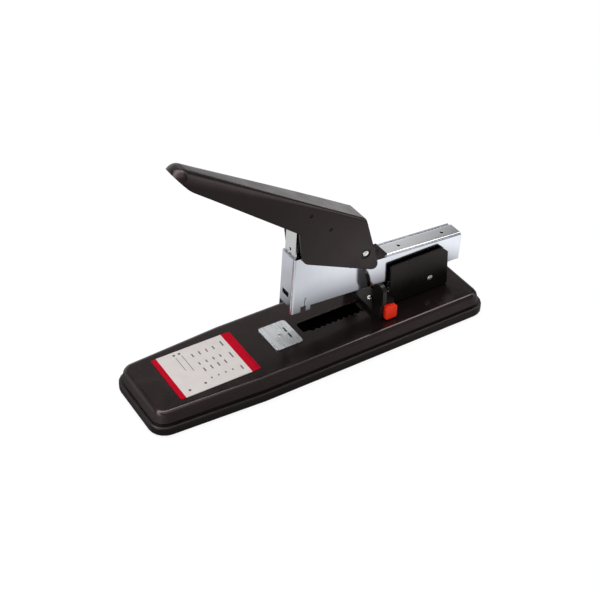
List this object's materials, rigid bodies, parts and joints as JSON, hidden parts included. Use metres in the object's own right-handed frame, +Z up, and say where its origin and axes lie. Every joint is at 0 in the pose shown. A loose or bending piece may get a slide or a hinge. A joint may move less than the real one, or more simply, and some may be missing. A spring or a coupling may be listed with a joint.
{
  "type": "heavy-duty stapler",
  "caption": "Long-handled heavy-duty desk stapler: black flat base with anvil, chromed magazine and head, lever handle, sliding paper guide with red release button",
  "frame": {"origin": "middle of the base's underside, on the surface that the feet stand on", "axes": "+X toward the hinge end, +Y to the side away from the release button, +Z up"},
  "size_m": [0.3, 0.085, 0.2021],
  "materials": {
    "black_paint": "satin baked enamel",
    "black_plastic": "moulded, lightly grained",
    "rubber": "matte",
    "chrome": "bright nickel-chrome plate",
    "steel": "plain zinc-plated",
    "zinc_plate": "satin plated",
    "label": "printed film, no text",
    "red_plastic": "smooth moulded"
  },
  "bodies": {
    "base": {"base_tray": "black_plastic", "base_cover": "black_paint", "foot_1": "rubber", "foot_2": "rubber", "foot_3": "rubber", "foot_4": "rubber", "anvil_support": "steel", "anvil_plate": "zinc_plate", "anvil_rivet": "steel", "label_plate": "label", "rear_bracket": "black_paint", "bracket_rivet_1": "steel", "bracket_rivet_2": "steel", "hinge_pin": "chrome", "lift_spring": "steel"},
    "magazine": {"magazine_channel": "chrome", "core_rail": "steel", "head_cover": "chrome", "saddle_bracket": "black_paint", "saddle_rivet_1": "black_paint", "saddle_rivet_2": "black_paint", "handle_pin": "chrome", "magazine_yoke": "black_paint", "return_spring": "steel"},
    "handle": {"handle_shell": "black_paint", "drive_lever": "steel", "lever_spacer_left": "steel", "lever_spacer_right": "steel", "pivot_washer_left": "black_plastic", "pivot_washer_right": "black_plastic", "cross_pin_1": "black_paint", "cross_pin_2": "black_paint"},
    "driver": {"driver_blade": "chrome", "driver_carrier": "steel", "drive_pin": "steel"},
    "loader": {"magazine_end_cap": "black_plastic", "pusher_rod": "steel", "pusher_spring": "steel"},
    "pusher": {"staple_pusher": "steel"},
    "paper_guide": {"paper_guide": "black_plastic", "guide_rivet": "chrome", "guide_shoe": "black_plastic"},
    "release_button": {"release_button": "red_plastic", "lock_pawl": "steel"}
  },
  "joints": [
    {"name": "magazine_hinge", "type": "hinge", "parent": "base", "child": "magazine", "pos_m": [0.1104, 0, 0.0321], "axis": [0, -1, 0], "range_deg": [0, 10.5], "stiffness_Nm_per_rad": 1.8, "springref_deg": -40.11, "deforming": ["lift_spring"]},
    {"name": "handle_hinge", "type": "hinge", "parent": "magazine", "child": "handle", "pos_m": [0.04733, 0, 0.07911], "axis": [0, -1, 0], "range_deg": [0, 26.8], "stiffness_Nm_per_rad": 0.6, "springref_deg": -45.84, "deforming": ["return_spring"]},
    {"name": "driver_slide", "type": "slide", "parent": "magazine", "child": "driver", "axis": [-0.0698, 0, -0.9976], "range_m": [0, 0.0265]},
    {"name": "loader_slide", "type": "slide", "parent": "magazine", "child": "loader", "axis": [0.9976, 0, -0.0698], "range_m": [0, 0.1]},
    {"name": "pusher_slide", "type": "slide", "parent": "loader", "child": "pusher", "axis": [0.9976, 0, -0.0698], "range_m": [0, 0.06], "stiffness_N_per_m": 20, "springref_m": -0.1, "deforming": ["pusher_spring"]},
    {"name": "guide_slide", "type": "slide", "parent": "base", "child": "paper_guide", "axis": [1, 0, 0], "range_m": [-0.052, 0]},
    {"name": "button_slide", "type": "slide", "parent": "paper_guide", "child": "release_button", "axis": [0, 1, 0], "range_m": [0, 0.003], "stiffness_N_per_m": 200, "springref_m": -0.003}
  ],
  "couplings": [
    {"joint": "driver_slide", "follows": "handle_hinge", "m_per_rad": 0.0566}
  ]
}
